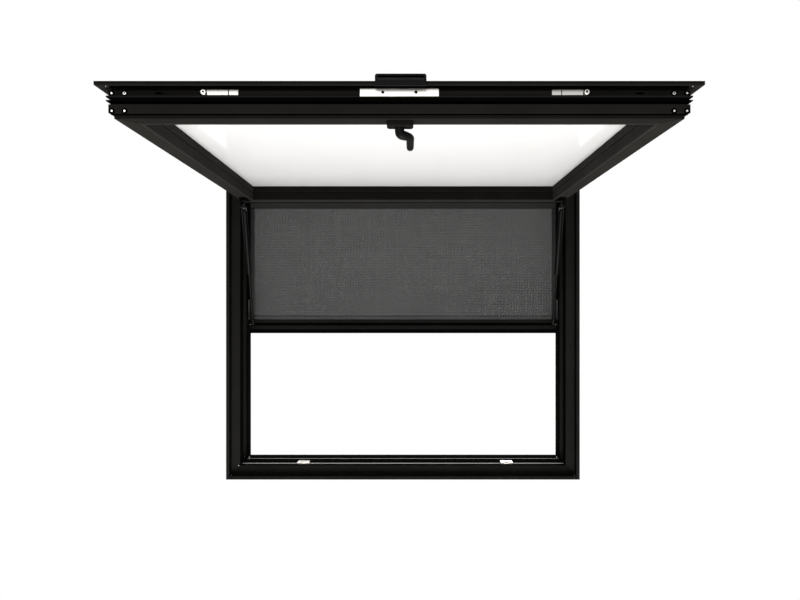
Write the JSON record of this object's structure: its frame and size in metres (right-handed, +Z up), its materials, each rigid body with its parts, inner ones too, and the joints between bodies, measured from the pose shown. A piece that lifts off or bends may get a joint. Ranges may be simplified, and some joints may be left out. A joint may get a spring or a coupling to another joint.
{
  "type": "top-hung aluminium window with gas struts and roll-up insect screen",
  "caption": "Black aluminium top-hung window, glazed sash propped open level on gas struts, with lock, lever handle and half-drawn insect screen behind the frame.",
  "frame": {"origin": "centre of the flat underside of the sill", "axes": "+X along the sill to the right seen from outside, +Y from outside to inside, +Z up"},
  "size_m": [1.2, 1.099, 1.03],
  "materials": {
    "black_aluminium": "satin black powder coat",
    "black_rubber": "matt",
    "clear_glass": "clear polished",
    "spacer_aluminium": "dark satin",
    "zinc_steel": "zinc plated",
    "black_painted_steel": "semi-gloss black",
    "black_handle": "satin black",
    "screen_cloth": "fine woven mesh"
  },
  "bodies": {
    "window": {"frame_sill": "black_aluminium", "frame_head": "black_aluminium", "frame_jamb_left": "black_aluminium", "frame_jamb_right": "black_aluminium", "sash_bottom_rail": "black_aluminium", "sash_top_rail": "black_aluminium", "sash_stile_left": "black_aluminium", "sash_stile_right": "black_aluminium", "glazing_bead_bottom": "black_aluminium", "glazing_bead_top": "black_aluminium", "glazing_bead_left": "black_aluminium", "glazing_bead_right": "black_aluminium", "hinge_frame_leaf": "black_aluminium", "hinge_sash_leaf": "black_aluminium", "outside_pull": "black_aluminium", "screen_pull_bar": "black_aluminium", "screen_cassette": "black_aluminium", "screen_guide_left": "black_aluminium", "screen_guide_right": "black_aluminium", "screen_sill_track": "black_aluminium", "frame_outer_gasket": "black_rubber", "frame_stop_gasket": "black_rubber", "glazing_gasket": "black_rubber", "sash_centre_seal": "black_rubber", "glass_outer_pane": "clear_glass", "glass_inner_pane": "clear_glass", "glass_spacer": "spacer_aluminium", "hinge_pin": "zinc_steel", "lock_faceplate": "zinc_steel", "keeper_left": "zinc_steel", "keeper_right": "zinc_steel", "strut_cylinder_left": "black_painted_steel", "strut_cylinder_right": "black_painted_steel", "strut_rod_left": "black_painted_steel", "strut_rod_right": "black_painted_steel", "strut_frame_bracket_left": "black_painted_steel", "strut_frame_bracket_right": "black_painted_steel", "strut_sash_bracket_left": "black_painted_steel", "strut_sash_bracket_right": "black_painted_steel", "handle_base": "black_handle", "screen_mesh": "screen_cloth"},
    "handle": {"handle_lever": "black_handle"},
    "lock": {"drive_rod": "zinc_steel", "lock_bar_left": "zinc_steel", "lock_bar_right": "zinc_steel", "lock_roller_left": "zinc_steel", "lock_roller_right": "zinc_steel"}
  },
  "joints": [
    {"name": "handle_turn", "type": "hinge", "parent": "window", "child": "handle", "pos_m": [0, -0.946, 0.93], "axis": [0, 0, 1], "range_deg": [0, 90]},
    {"name": "lock_slide", "type": "slide", "parent": "window", "child": "lock", "axis": [1, 0, 0], "range_m": [0, 0.018]}
  ],
  "couplings": [
    {"joint": "lock_slide", "follows": "handle_turn", "m_per_rad": 0.011459}
  ]
}
